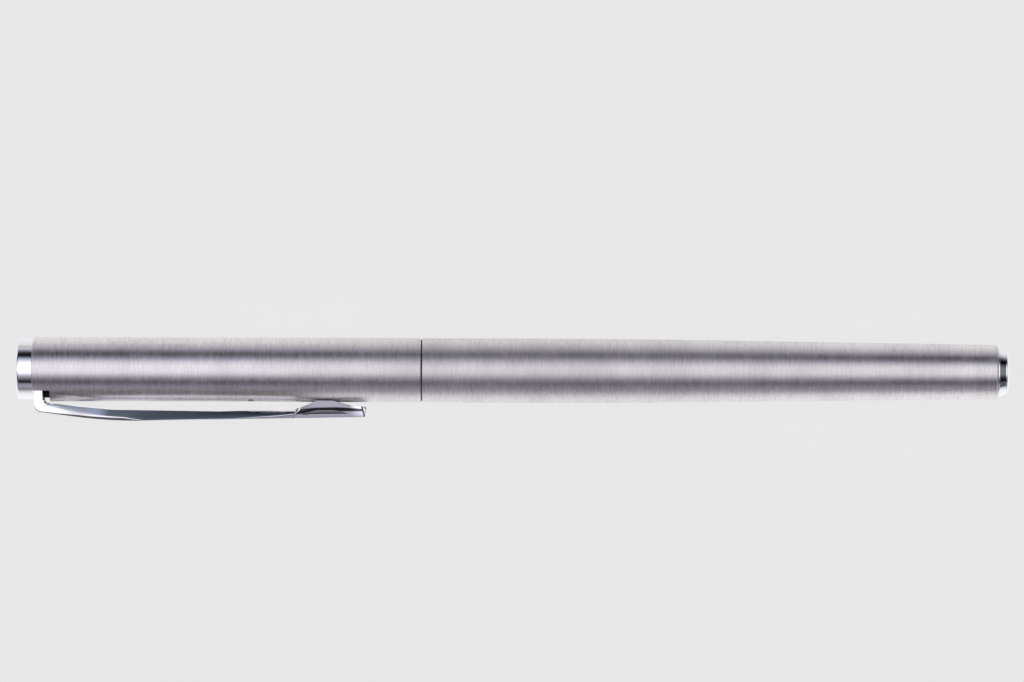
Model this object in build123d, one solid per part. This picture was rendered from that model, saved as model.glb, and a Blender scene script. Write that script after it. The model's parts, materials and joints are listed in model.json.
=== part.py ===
from build123d import *
import math
import os

# Technical pen, closed. Millimetres. The x axis is the pen's own axis and runs from the cap (-x)
# to the tail (+x). x = 0 is the barrel's front face, where cap and barrel meet.
# The clip lies on the -y side, and +z is up.

# Tubes
tube_radius = 4.475          # cap tube, and the barrel's parallel stretch
tube_wall = 0.45
seam_gap = 0.20              # between the cap's rear end and the barrel's front face
barrel_length = 80.0
barrel_parallel = 15.0       # where the barrel starts to bend inwards
barrel_bend = 25.0           # length of the soft bend between parallel and taper
tail_radius = 3.77           # outside of the barrel at its tail
tube_edge = 0.16             # small bevel on the rims

# Fits
fit_gap = 0.05               # radial gap of pieces that sit in one another
slide_gap = 0.055            # radial gap of pieces that slide past one another
face_gap = 0.02              # between flat faces that meet

# Finial and clip anchor
finial_radius = 4.20
finial_head = 2.19
finial_round = 0.35
finial_spigot = 0.20
stud_radius = 1.50
stud_length = 3.6
anchor_length = 3.9

# Clip: a channel of sheet metal, open towards the tube
clip_sheet = 0.40
clip_front_gap = 0.29        # from the tube's front end to the clip's leg
clip_depth = 1.26            # depth of the channel in the leg
clip_reach = 46.35           # from the cap tube's front end to the clip's tip
clip_shoulder = 5.86         # distance from the axis at the root corner
clip_corner = 1.10           # outer radius of the root corner
clip_crest = 7.207           # distance from the axis of the corner that is rounded to the crest
clip_crest_place = 10.85     # from the tube's front end
clip_crest_round = 60.0
clip_tip_height = 6.50       # distance from the axis at the tip
clip_root_half = 3.20        # half of the width at the root
clip_waist_half = 1.65       # half of the width where the root ends
clip_waist_place = 9.5
clip_tip_half = 1.30
clip_tip_round = 0.60
clip_tube_gap = 0.05         # from the bump to the tube
slot_length = 2.40
slot_side_gap = 0.15
foot_half = 2.40
foot_thick = 0.50
foot_depth = 2.0             # how far the foot reaches past the tube's outside
foot_gap = 0.11

# Cap, inside
vent_radius = 0.42
vent_place = 30.3            # from the cap tube's front end
vent_angle = 20.0            # from the -y side towards +z
liner_wall_end = 1.0
liner_nose_radius = 1.90
seal_plug_length = 3.05
seal_gap = 0.38              # from the writing tube's tip to the seal
liner_gap = 0.10
clutch_length = 5.9
clutch_wall = 0.30
clutch_bump = 0.20
clutch_fingers = 6
clutch_slit = 0.8

# Section
grip_length = 26.0           # from the seam to the section's front face
shoulder_length = 2.3
seal_proud = 0.07            # how far the rubber ring stands out of the section
ring_thick = 0.60
groove_count = 7
groove_pitch = 1.4
groove_width = 0.6
groove_depth = 0.15
first_groove = 5.4           # from the section's front face
regulator_radius = 2.30
spigot_length = 2.0
spigot_wall = 0.55
web_rear = -1.0
web_front = -3.0
nipple_radius = 1.30
nipple_bore = 0.50
nipple_end = 5.0
collar_length = 8.0
collar_wall = 0.50
bush_wall = 0.525
bush_front = 0.70
bush_length = 8.0

# Nib
flange_thick = 0.50
gasket_thick = 0.25
lip_thick = 0.45
cone_radius = 2.40
cone_nose_radius = 1.45
cone_straight = 1.5
cone_length = 10.25          # from the flange's front face to the nose
weight_bore = 1.20
weight_gap = 0.1             # left at each end of the weight's travel
weight_travel = 2.4
hub_radius = 0.90
hub_head_radius = 1.25
hub_head = 1.2
hub_nose_radius = 0.72
hub_nose = 1.0
hub_seat = 2.8
line_width = 0.70            # outside diameter of the writing tube
writing_tube_bore = 0.45
writing_tube_reach = 4.3     # how far it stands out of the hub
wire_diameter = 0.30
wire_proud = 0.10
end_cap_thick = 0.85
end_cap_spigot = 1.0

# Regulator
fin_pitch = 0.8
fin_thick = 0.35
regulator_core = 1.30
ink_bore = 0.40

# Cartridge
cartridge_wall = 0.50
cartridge_rear = 46.0
neck_wall = 0.60
neck_ring_thick = 0.45

# End plug
plug_radius = 3.50
plug_straight = 1.05
plug_dome = 0.70             # from the end of the straight side to the tip
plug_dome_rise = 0.28
plug_corner = 0.50
plug_spigot = 6.0
plug_ring_thick = 0.42

# Worked out from the sizes above
bore = tube_radius - tube_wall
inner_fit = bore - fit_gap
cap_rear = -seam_gap
section_front = -grip_length
land_radius = inner_fit - clutch_wall - clutch_bump
section_radius = land_radius - slide_gap - seal_proud
thread_radius = inner_fit - bush_wall
collar_radius = thread_radius - fit_gap
section_bore = regulator_radius + fit_gap
spigot_radius = section_bore + spigot_wall
spigot_front = section_front - spigot_length
gasket_front = spigot_front - gasket_thick
flange_front = gasket_front - flange_thick
cone_nose = flange_front - cone_length
cone_rear = section_front + 1.5
end_cap_rear = cone_rear + end_cap_thick
weight_stop = cone_nose + hub_seat + 0.1
tube_tip = cone_nose - hub_head - hub_nose - writing_tube_reach
liner_front = tube_tip - seal_gap - seal_plug_length - liner_wall_end
anchor_rear = liner_front - liner_gap
anchor_front = anchor_rear - anchor_length
cap_front = anchor_front - face_gap - finial_spigot
leg_front = cap_front + clip_front_gap
leg_rear = leg_front + clip_depth
foot_rear = leg_front + foot_thick
clip_tip = cap_front + clip_reach
liner_rear = cap_rear - shoulder_length - 1.1 - clutch_length
clutch_front = liner_rear + 0.1
clutch_rear = clutch_front + clutch_length
clutch_bump_middle = clutch_rear - 0.8
cartridge_radius = collar_radius - 0.10
neck_bore = nipple_radius + 0.25
neck_radius = neck_bore + neck_wall
neck_front = web_rear + 0.3
fin_front = end_cap_rear + 0.3
fin_rear = web_front - 0.3


def turned(*points):
    """A solid turned about the pen's axis, from its (x, radius) corners."""
    return revolve(make_face(Polyline(*points, close=True)), axis=Axis.X)


def ring(front, rear, outer, inner):
    """A plain sleeve or washer."""
    return turned((front, inner), (rear, inner), (rear, outer), (front, outer))


def bar(front, rear, outer):
    """A plain round bar."""
    return turned((front, 0), (rear, 0), (rear, outer), (front, outer))


def rubber_ring(middle, seat, thick):
    """A rubber ring of round section, lying on a seat of the given radius."""
    return revolve(Pos(middle, seat + thick / 2) * Circle(thick / 2), axis=Axis.X)


def rims(part, place, radius):
    """The round edges of a part at this place along the axis and of this radius."""
    found = part.edges().filter_by(GeomType.CIRCLE)
    return [e for e in found if abs(e.arc_center.X - place) < 1e-3 and abs(e.radius - radius) < 1e-3]


def block(x, y, z):
    """A box from pairs of lowest and highest coordinates."""
    size = Box(x[1] - x[0], y[1] - y[0], z[1] - z[0])
    return Pos((x[0] + x[1]) / 2, (y[0] + y[1]) / 2, (z[0] + z[1]) / 2) * size


def cap_tube():
    """The cap's tube, with the clip's slot open to the front end and a small vent."""
    tube = ring(cap_front, cap_rear, tube_radius, bore)
    bevel = min(tube_edge, tube_wall / 2.5)
    tube = chamfer(rims(tube, cap_front, tube_radius) + rims(tube, cap_rear, tube_radius), bevel)
    slot_half = clip_root_half + slot_side_gap
    slot = block((cap_front - 1, cap_front + slot_length), (-tube_radius - 1, 0), (-slot_half, slot_half))
    vent = Pos(cap_front + vent_place, 0, 0) * Rot(90 - vent_angle, 0, 0) * Cylinder(
        vent_radius, tube_radius + 1, align=(Align.CENTER, Align.CENTER, Align.MIN)
    )
    return tube - slot - vent


def cap_finial():
    """The button at the cap's end: head, short spigot and threaded stud."""
    head = bar(cap_front - finial_head, cap_front, finial_radius)
    head = fillet(rims(head, cap_front - finial_head, finial_radius), finial_round)
    spigot = bar(cap_front, cap_front + finial_spigot, bore - 0.075)
    stud = bar(cap_front + finial_spigot, cap_front + finial_spigot + stud_length, stud_radius)
    return head + spigot + stud


def clip_anchor_bush():
    """The bush that the stud screws into, with a pocket for the clip's foot."""
    bush = ring(anchor_front, anchor_rear, inner_fit, stud_radius + fit_gap)
    pocket_rear = foot_rear + foot_gap
    side = foot_half + slot_side_gap
    floor = tube_radius - foot_depth - 0.15
    return bush - block((anchor_front - 1, pocket_rear), (-bore - 1, -floor), (-side, side))


def clip_edge(inset):
    """The clip's outer edge seen from the side, moved inwards by inset."""
    crest_x = cap_front + clip_crest_place
    return FilletPolyline(
        (leg_front + inset, -tube_radius + 1.5),
        (leg_front + inset, inset - clip_shoulder),
        (crest_x, inset - clip_crest),
        (clip_tip, inset - clip_tip_height),
        radius=[clip_corner - inset, clip_crest_round + inset],
    )


def clip_side():
    """The clip's outline seen from the side, with the bump near its tip."""
    outer = clip_edge(0)
    x = cap_front
    inner = Polyline(
        outer @ 1,
        (clip_tip, -5.0),
        (x + 44.40, -5.05),
        (x + 41.65, -4.20),
        (x + 39.70, -4.20),
        (x + 37.45, -5.30),
        (x + 26.15, -5.80),
        (x + 10.65, -5.62),
        (leg_rear, -4.62),
        (leg_rear, -tube_radius + 1.5),
        outer @ 0,
    )
    return make_face([outer, inner])


def clip_plan(inset):
    """The clip's outline seen from outside, as a solid through its whole height."""
    half = [
        (leg_front - 1, clip_root_half - inset),
        (leg_rear + 0.4, clip_root_half - inset),
        (cap_front + clip_waist_place, clip_waist_half - inset),
        (clip_tip - inset, clip_tip_half - inset),
    ]
    outline = Polyline(*half, *[(x, -z) for x, z in reversed(half)], close=True)
    plan = make_face(Plane.XZ * outline)
    solid = Pos(0, -clip_crest - 1, 0) * extrude(plan, -clip_crest, dir=(0, -1, 0))
    tip = [e for e in solid.edges().filter_by(Axis.Y) if e.center().X > clip_tip - inset - 0.01]
    return fillet(tip, clip_tip_round - inset / 2)


def clip():
    """The clip: a channel with a bump that follows the tube, and a foot for the anchor bush."""
    body = extrude(clip_side(), clip_root_half + 1, both=True) & clip_plan(0)
    hollow_edge = clip_edge(clip_sheet)
    hollow_side = make_face([hollow_edge, Polyline(hollow_edge @ 1, (clip_tip, 0), hollow_edge @ 0)])
    hollow = extrude(hollow_side, clip_root_half + 1, both=True) & clip_plan(clip_sheet)
    channel = body - hollow
    channel -= bar(cap_front + slot_length - 0.2, 0, tube_radius + clip_tube_gap)
    channel -= bar(cap_front - 1, cap_front + slot_length, bore + fit_gap)
    foot = block(
        (leg_front, foot_rear), (-tube_radius - 0.3, foot_depth - tube_radius), (-foot_half, foot_half)
    )
    return channel + foot


def cap_liner():
    """The inner cap: a long sleeve that narrows to the seal at its nose."""
    sleeve_front = flange_front - lip_thick - 0.6
    nose_rear = cone_nose - hub_head - hub_nose
    nose_front = liner_front + liner_wall_end
    return turned(
        (liner_front, 0),
        (liner_front, inner_fit),
        (liner_rear, inner_fit),
        (liner_rear, land_radius),
        (sleeve_front, land_radius),
        (nose_rear, liner_nose_radius),
        (nose_front, liner_nose_radius),
        (nose_front, 0),
    )


def cap_seal():
    """The rubber plug that closes the writing tube."""
    front = liner_front + liner_wall_end
    plug = bar(front, front + seal_plug_length, liner_nose_radius - fit_gap)
    return fillet(rims(plug, front + seal_plug_length, liner_nose_radius - fit_gap), 0.3)


def cap_clutch():
    """A sprung ring with inward bumps at its finger ends."""
    inner = inner_fit - clutch_wall
    low = inner - clutch_bump
    middle = clutch_bump_middle
    body = turned(
        (clutch_front, inner),
        (middle - 0.5, inner),
        (middle - 0.25, low),
        (middle + 0.25, low),
        (middle + 0.5, inner),
        (clutch_rear, inner),
        (clutch_rear, inner_fit),
        (clutch_front, inner_fit),
    )
    slit = block((clutch_front + 1.6, clutch_rear + 1), (0, inner_fit + 1), (-clutch_slit / 2, clutch_slit / 2))
    for i in range(clutch_fingers):
        body -= Rot(360 / clutch_fingers * i, 0, 0) * slit
    return body


def barrel_outline(inset):
    """The barrel's outside moved in by inset, turned into a solid bar."""
    radius, tail = tube_radius - inset, tail_radius - inset
    corner = barrel_parallel + barrel_bend / 2
    turn = math.atan((radius - tail) / (barrel_length - corner))
    edge = FilletPolyline(
        (0, radius), (corner, radius), (barrel_length, tail), radius=barrel_bend / 2 / math.tan(turn / 2)
    )
    rest = Polyline(edge @ 1, (barrel_length, 0), (0, 0), edge @ 0)
    return revolve(make_face([edge, rest]), axis=Axis.X)


def barrel_tube():
    """The barrel's tube: parallel, then a soft bend, then a long taper."""
    tube = barrel_outline(0) - barrel_outline(tube_wall)
    tube = chamfer(rims(tube, 0, tube_radius), min(tube_edge, tube_wall / 2.5))
    return fillet(rims(tube, barrel_length, tail_radius), min(0.30, tube_wall * 0.7))


def barrel_end_plug():
    """The tail plug: head with a shallow dome, and a spigot with a groove for its ring."""
    front = barrel_length + face_gap
    flat_end = front + plug_straight
    tip = flat_end + plug_dome
    dome_radius = plug_radius - plug_corner
    rim = tip - plug_dome_rise
    sphere = (dome_radius**2 + plug_dome_rise**2) / (2 * plug_dome_rise)
    halfway = tip - sphere + math.sqrt(sphere**2 - dome_radius**2 / 4)
    corner = TangentArc((flat_end, plug_radius), (rim, dome_radius), tangent=(1, 0))
    dome = ThreePointArc((rim, dome_radius), (halfway, dome_radius / 2), (tip, 0))
    base = Polyline((tip, 0), (front, 0), (front, plug_radius), (flat_end, plug_radius))
    head = revolve(make_face([corner, dome, base]), axis=Axis.X)
    radius = tail_radius - tube_wall - 0.07
    start = barrel_length - plug_spigot
    ring_middle = start + 2.0
    half = plug_ring_thick / 2 + 0.09
    spigot = turned(
        (start, 0),
        (start, radius - 0.3),
        (start + 0.3, radius),
        (ring_middle - half, radius),
        (ring_middle - half, plug_ring_seat()),
        (ring_middle + half, plug_ring_seat()),
        (ring_middle + half, radius),
        (front, radius),
        (front, 0),
    )
    return head + spigot


def plug_ring_seat():
    """The bottom of the groove in the end plug, so that the ring just meets the barrel's wall."""
    return tail_radius - tube_wall + 0.02 - plug_ring_thick - fit_gap / 2


def end_plug_ring():
    """The rubber ring that holds the end plug."""
    return rubber_ring(barrel_length - plug_spigot + 2.0, plug_ring_seat(), plug_ring_thick)


def union_washer():
    """The thin dark washer in the seam."""
    return ring(cap_rear + face_gap, -face_gap, tube_radius - 0.2, collar_radius + fit_gap)


def barrel_seal_ring():
    """The rubber ring in front of the threaded bush."""
    thick = bush_front - 0.2
    return rubber_ring(bush_front / 2, collar_radius + fit_gap, thick)


def barrel_thread_bush():
    """The bush in the barrel that screws onto the section's collar."""
    return ring(bush_front, bush_front + bush_length, inner_fit, thread_radius)


def seal_ring_middle():
    """Where the section's rubber ring sits."""
    return section_front + 2.1


def grip_section():
    """The plastic section: spigot, grip rings, shoulder, collar and cartridge nipple."""
    shoulder_front = cap_rear - shoulder_length
    half = ring_thick / 2 + 0.05
    middle = seal_ring_middle()
    ring_seat = section_radius + seal_proud - ring_thick
    snap_low = section_radius - 0.2
    body = turned(
        (spigot_front, section_bore),
        (spigot_front, spigot_radius),
        (section_front, spigot_radius),
        (section_front, section_radius),
        (middle - half, section_radius),
        (middle - half, ring_seat),
        (middle + half, ring_seat),
        (middle + half, section_radius),
        (clutch_bump_middle - 0.7, section_radius),
        (clutch_bump_middle - 0.5, snap_low),
        (clutch_bump_middle + 0.5, snap_low),
        (clutch_bump_middle + 0.7, section_radius),
        (shoulder_front, section_radius),
        (shoulder_front, bore - 0.075),
        (cap_rear, bore - 0.075),
        (cap_rear, collar_radius),
        (collar_length, collar_radius),
        (collar_length, collar_radius - collar_wall),
        (web_rear, collar_radius - collar_wall),
        (web_rear, nipple_radius),
        (nipple_end, nipple_radius),
        (nipple_end, nipple_bore),
        (web_rear - 0.4, nipple_bore),
        (web_rear - 0.4, nipple_bore + 0.4),
        (web_front, nipple_bore + 0.4),
        (web_front, section_bore),
    )
    for i in range(groove_count):
        start = section_front + first_groove + i * groove_pitch
        body -= ring(start, start + groove_width, section_radius + 1, section_radius - groove_depth)
    seat_start = neck_ring_middle() - neck_ring_thick / 2 - 0.05
    seat_end = seat_start + neck_ring_thick + 0.1
    body -= ring(seat_start, seat_end, nipple_radius + 0.1, neck_ring_seat())
    return body


def neck_ring_middle():
    """Where the cartridge ring sits on the nipple."""
    return nipple_end - 2.5


def neck_ring_seat():
    """The bottom of the nipple's groove."""
    return neck_bore - fit_gap - neck_ring_thick


def cartridge_neck_seal():
    """The rubber ring between the nipple and the cartridge's neck."""
    return rubber_ring(neck_ring_middle(), neck_ring_seat(), neck_ring_thick)


def section_seal_ring():
    """The rubber ring that seals the inner cap."""
    return rubber_ring(seal_ring_middle(), section_radius + seal_proud - ring_thick, ring_thick)


def clamp_ring():
    """The ring that holds the cone's flange against the section's spigot."""
    inner = spigot_radius + fit_gap
    outer = section_radius - 0.05
    rear = section_front - 0.85
    return turned(
        (flange_front - lip_thick, cone_radius + 0.1),
        (flange_front - lip_thick, outer - 0.2),
        (flange_front - lip_thick + 0.2, outer),
        (rear, outer),
        (rear, inner),
        (flange_front - face_gap, inner),
        (flange_front - face_gap, cone_radius + 0.1),
    )


def colour_ring():
    """The coloured ring between the clamp ring and the section."""
    return ring(section_front - 0.80, section_front - 0.05, section_radius - 0.05, spigot_radius + fit_gap)


def nib_gasket():
    """The flat rubber ring behind the cone's flange."""
    return ring(gasket_front, spigot_front, spigot_radius, section_bore)


def nib_cone():
    """The drawing cone, with its flange and the bore that the weight slides in."""
    rear_radius = regulator_radius
    hub_hole = hub_radius + 0.03
    return turned(
        (cone_nose, hub_hole),
        (cone_nose, cone_nose_radius),
        (flange_front - cone_straight, cone_radius),
        (flange_front, cone_radius),
        (flange_front, spigot_radius),
        (gasket_front, spigot_radius),
        (gasket_front, rear_radius),
        (cone_rear, rear_radius),
        (cone_rear, weight_bore),
        (weight_stop, weight_bore),
        (weight_stop, hub_hole),
    )


def writing_tube_hub():
    """The metal seat of the writing tube, pressed into the cone's nose."""
    head_front = cone_nose - hub_head
    nose_front = head_front - hub_nose
    hole = line_width / 2 + 0.02
    return turned(
        (nose_front, hole),
        (nose_front, line_width / 2 + 0.15),
        (nose_front + 0.3, hub_nose_radius),
        (head_front, hub_nose_radius),
        (head_front + 0.2, hub_head_radius),
        (cone_nose, hub_head_radius),
        (cone_nose, hub_radius),
        (cone_nose + hub_seat, hub_radius),
        (cone_nose + hub_seat, hole),
    )


def writing_tube():
    """The tube that draws the line."""
    tube = ring(tube_tip, cone_nose + hub_seat - 0.3, line_width / 2, writing_tube_bore / 2)
    return chamfer(rims(tube, tube_tip, line_width / 2), (line_width - writing_tube_bore) / 6)


def drop_weight():
    """The weight that slides in the cone and carries the wire."""
    front = weight_stop + weight_gap
    radius = weight_bore - 0.12
    hole = wire_diameter / 2 + 0.02
    rear = cone_rear - end_cap_spigot - weight_travel - 2 * weight_gap
    return turned(
        (front, hole),
        (front, radius - 0.3),
        (front + 0.4, radius),
        (rear - 0.3, radius),
        (rear, radius - 0.3),
        (rear, 0),
        (front + 1.5, 0),
        (front + 1.5, hole),
    )


def cleaning_wire():
    """The wire in the writing tube."""
    return bar(tube_tip - wire_proud, weight_stop + 1.5, wire_diameter / 2)


def nib_end_cap():
    """The cap that keeps the weight in the cone, with an ink hole."""
    front = cone_rear - end_cap_spigot
    hole = 0.35
    return turned(
        (front, hole),
        (front, weight_bore - fit_gap),
        (cone_rear + face_gap, weight_bore - fit_gap),
        (cone_rear + face_gap, regulator_radius),
        (end_cap_rear, regulator_radius),
        (end_cap_rear, hole),
    )


def ink_regulator():
    """The finned body that takes up ink as the air in the cartridge swells."""
    body = ring(fin_front, fin_rear, regulator_core, ink_bore)
    body += ring(fin_rear, web_rear - 0.5, nipple_bore + 0.35, ink_bore)
    count = int((fin_rear - fin_front) / fin_pitch)
    for i in range(count):
        start = fin_front + i * fin_pitch
        body += ring(start, start + fin_thick, regulator_radius, regulator_core - 0.1)
    body += ring(fin_rear - fin_thick, fin_rear, regulator_radius, regulator_core - 0.1)
    slot = block((fin_front - 1, fin_rear - fin_thick - 0.1), (-0.3, 0.3), (regulator_core + 0.2, regulator_radius + 1))
    return body - slot


def regulator_seal():
    """The flat rubber ring behind the regulator."""
    return ring(fin_rear, web_front, regulator_radius, nipple_bore + 0.45)


def cartridge_shell():
    """The ink cartridge: a thin cup with a neck that fits the nipple."""
    inside = cartridge_radius - cartridge_wall
    shoulder = collar_length + 0.3
    shell = turned(
        (neck_front, neck_bore),
        (neck_front, neck_radius),
        (shoulder, neck_radius),
        (shoulder + 1.0, cartridge_radius),
        (cartridge_rear, cartridge_radius),
        (cartridge_rear, 0),
        (cartridge_rear - cartridge_wall, 0),
        (cartridge_rear - cartridge_wall, inside),
        (shoulder + 1.5, inside),
        (shoulder + 0.6, neck_bore),
    )
    return fillet(rims(shell, cartridge_rear, cartridge_radius), cartridge_wall)


makers = [
    cap_tube,
    cap_finial,
    clip_anchor_bush,
    clip,
    cap_liner,
    cap_seal,
    cap_clutch,
    barrel_tube,
    barrel_end_plug,
    end_plug_ring,
    union_washer,
    barrel_seal_ring,
    barrel_thread_bush,
    grip_section,
    section_seal_ring,
    clamp_ring,
    colour_ring,
    nib_gasket,
    nib_cone,
    writing_tube_hub,
    writing_tube,
    drop_weight,
    cleaning_wire,
    nib_end_cap,
    ink_regulator,
    regulator_seal,
    cartridge_shell,
    cartridge_neck_seal,
]

os.makedirs("parts", exist_ok=True)
for maker in makers:
    export_step(maker(), f"parts/{maker.__name__}.step")
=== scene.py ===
import json
import math

import bmesh
import bpy
import numpy as np
from bpy.props import FloatProperty, FloatVectorProperty, IntProperty, PointerProperty
from mathutils.kdtree import KDTree
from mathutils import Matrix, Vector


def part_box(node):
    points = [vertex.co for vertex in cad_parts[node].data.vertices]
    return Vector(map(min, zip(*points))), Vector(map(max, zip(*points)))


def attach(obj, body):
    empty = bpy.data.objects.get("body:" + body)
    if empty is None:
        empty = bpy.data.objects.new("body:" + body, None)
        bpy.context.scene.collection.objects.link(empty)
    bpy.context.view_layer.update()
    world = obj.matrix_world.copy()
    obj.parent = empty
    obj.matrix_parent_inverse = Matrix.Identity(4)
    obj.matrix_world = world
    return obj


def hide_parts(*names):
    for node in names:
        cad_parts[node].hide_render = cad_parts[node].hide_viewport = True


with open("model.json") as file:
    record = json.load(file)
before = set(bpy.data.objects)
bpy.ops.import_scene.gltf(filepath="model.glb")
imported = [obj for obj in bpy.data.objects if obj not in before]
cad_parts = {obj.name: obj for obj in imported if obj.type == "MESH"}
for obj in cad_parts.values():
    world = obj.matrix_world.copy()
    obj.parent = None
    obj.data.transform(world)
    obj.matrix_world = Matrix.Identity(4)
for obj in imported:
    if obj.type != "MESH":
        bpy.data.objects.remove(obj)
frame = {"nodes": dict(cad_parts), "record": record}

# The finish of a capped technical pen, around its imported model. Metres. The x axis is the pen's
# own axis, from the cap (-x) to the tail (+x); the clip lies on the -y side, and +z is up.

bl_info = {
    "name": "Technical pen",
    "version": (1, 0, 0),
    "blender": (4, 5, 0),
    "location": "3D View > Sidebar > Pen",
    "description": "Shells, clip, ends and finishes of a capped technical pen",
    "category": "Object",
}

MM = 0.001
TIGHT_ROUND = 0.02 * MM   # rounding that only breaks an edge
SMALL_ROUND = 0.05 * MM   # rounding of edges that are hardly seen
LIP_CLEARANCE = 0.055 * MM  # between the clip's lips and the tube
CLIP_ROWS = 640           # rows of the clip's mesh
SHARP_EDGE = math.radians(50)
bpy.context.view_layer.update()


def span(node):
    """Front end, rear end and outer radius of a turned node, read from its box."""
    low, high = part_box(node)
    return low.x, high.x, high.z


CAP_FRONT, CAP_REAR, TUBE_RADIUS = span("cap_tube")
BARREL_REAR = span("barrel_tube")[1]
SECTION_RADIUS = span("clamp_ring")[2] + 0.05 * MM


# Settings


def length(name, description, millimetres):
    """A length setting whose default is given in millimetres."""
    return FloatProperty(
        name=name, description=description, default=millimetres * MM, unit="LENGTH", precision=5
    )


def colour(name, description, value):
    """A colour setting."""
    return FloatVectorProperty(
        name=name, description=description, default=value, subtype="COLOR", size=3, min=0, max=1
    )


def share(name, description, value):
    """A setting between 0 and 1."""
    return FloatProperty(name=name, description=description, default=value, min=0, max=1, subtype="FACTOR")


class PenSizes(bpy.types.PropertyGroup):
    """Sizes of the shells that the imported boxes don't give."""

    tube_wall: length("Tube wall", "Wall of the cap and barrel tubes", 0.45)
    tail_radius: length("Tail radius", "Outside radius of the barrel at its tail", 3.77)
    tail_round: length("Tail rounding", "Rounding of the barrel's tail end", 0.30)
    barrel_parallel: length("Parallel stretch", "Where the barrel starts to bend inwards", 15.0)
    barrel_bend: length("Bend", "Length of the soft bend before the taper", 25.0)
    rim_round: length("Rim rounding", "Rounding of the tubes' rims", 0.09)
    slot_length: length("Slot length", "Length of the clip's slot in the cap", 2.40)
    slot_half: length("Slot half width", "Half of the slot's width", 3.35)
    vent_radius: length("Vent radius", "Radius of the cap's vent hole", 0.42)
    vent_place: length("Vent place", "From the cap's front end to the vent", 30.3)
    vent_turn: FloatProperty(
        name="Vent turn", description="From the clip's side upwards", default=math.radians(18),
        subtype="ANGLE",
    )
    clip_sheet: length("Clip sheet", "Thickness of the clip's sheet metal", 0.40)
    clip_root_half: length("Clip root", "Half of the clip's width at its root", 3.18)
    clip_waist_half: length("Clip waist", "Half of the clip's width behind the root", 1.65)
    clip_tip_half: length("Clip tip", "Half of the clip's width at its tip", 1.30)
    around: IntProperty(name="Facets", description="Facets around a tube", default=192, min=48, max=384)


class PenColours(bpy.types.PropertyGroup):
    """Base colours of the finishes."""

    steel: colour("Brushed steel", "Cap and barrel tubes", (0.80, 0.765, 0.785))
    chrome: colour("Polished trim", "Finial, clip and end plug", (0.90, 0.915, 0.945))
    hard_steel: colour("Hard steel", "Writing tube and its seat", (0.62, 0.61, 0.60))
    brass: colour("Brass", "Threaded bush and weight", (0.72, 0.53, 0.25))
    # Painted shade: the anchor bush's brass gets a near-black colour that stands in for the shade inside
    # the clip's slot.
    slot_shade_colour: colour("Brass painted with slot shade", "Anchor bush behind the clip's slot", (0.030, 0.028, 0.027))
    black: colour("Black plastic", "Writing section", (0.022, 0.022, 0.024))
    grey: colour("Grey plastic", "Cone and inner cap", (0.16, 0.16, 0.17))
    code: colour("Code colour", "Ring that codes the line width", (0.04, 0.16, 0.45))
    rubber: colour("Rubber", "Seals", (0.016, 0.016, 0.016))
    cartridge: colour("Cartridge", "Translucent ink cartridge", (0.86, 0.88, 0.88))


class PenStudio(bpy.types.PropertyGroup):
    """Floor, light and camera."""

    floor_glow: share("Floor glow", "Light given off by the pale table", 0.765)
    floor_albedo: share("Floor albedo", "Light thrown back by the pale table", 0.08)
    backdrop: share("Backdrop", "Brightness of the backdrop", 0.82)
    strip_light: FloatProperty(
        name="Strip light", description="Brightness of the long softbox", default=1.13, min=0, max=10
    )
    # Glow of a dark card seen only in reflections, put there to paint shade on the cap's lower side.
    painted_shade_glow: share("Painted shade brightness", "Light given off by the dark card beside the clip", 0.12)
    camera_height: FloatProperty(
        name="Camera height", description="Camera above the pen's axis", default=1.0, unit="LENGTH"
    )
    field_width: length("Field width", "Width of the view at the pen", 142.6)
    aim_x: length("Aim along", "Point of the axis under the camera", 12.46)
    aim_y: length("Aim across", "Distance of the view's middle from the axis", 4.115)
    roll: FloatProperty(
        name="Roll", description="Camera's turn about its view", default=math.radians(0.18), subtype="ANGLE"
    )


# Outlines and turned surfaces


def turn_left(v):
    """A plane vector turned a quarter left."""
    return np.array([-v[1], v[0]])


def rounded(corners, radii, closed, steps=7):
    """Points and unit normals of an outline with rounded corners.

    Each corner gives way to the circle of its radius that touches both sides, cut short where a
    side has no room for it; a point of the arc is the circle's centre plus the radius turned
    through the share of the corner's turn. The normals point away from the enclosed side of an
    outline that runs anticlockwise.
    """
    c = np.array(corners, float)
    count = len(c)
    if np.isscalar(radii):
        radii = [radii] * count
    points, normals = [], []
    for i in range(count):
        if not closed and i in (0, count - 1):
            towards = c[1] - c[0] if i == 0 else c[-1] - c[-2]
            towards = towards / np.linalg.norm(towards)
            points.append(c[i][None])
            normals.append(-turn_left(towards)[None])
            continue
        before, here, after = c[i - 1], c[i], c[(i + 1) % count]
        run_in, run_out = here - before, after - here
        long_in, long_out = np.linalg.norm(run_in), np.linalg.norm(run_out)
        run_in, run_out = run_in / long_in, run_out / long_out
        turn = math.atan2(run_in[0] * run_out[1] - run_in[1] * run_out[0], run_in @ run_out)
        reach = min(radii[i] * math.tan(abs(turn) / 2), 0.49 * long_in, 0.49 * long_out)
        radius = reach / max(math.tan(abs(turn) / 2), 1e-9)
        start = here - run_in * reach
        side = math.copysign(1.0, turn)
        centre = start + turn_left(run_in) * radius * side
        angle = np.linspace(0, turn, steps)
        cos, sin = np.cos(angle)[:, None], np.sin(angle)[:, None]
        arm = start - centre
        points.append(centre + cos * arm + sin * turn_left(arm))
        direction = cos * run_in + sin * turn_left(run_in)
        normals.append(np.column_stack([direction[:, 1], -direction[:, 0]]))
    return np.concatenate(points), np.concatenate(normals)


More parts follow.
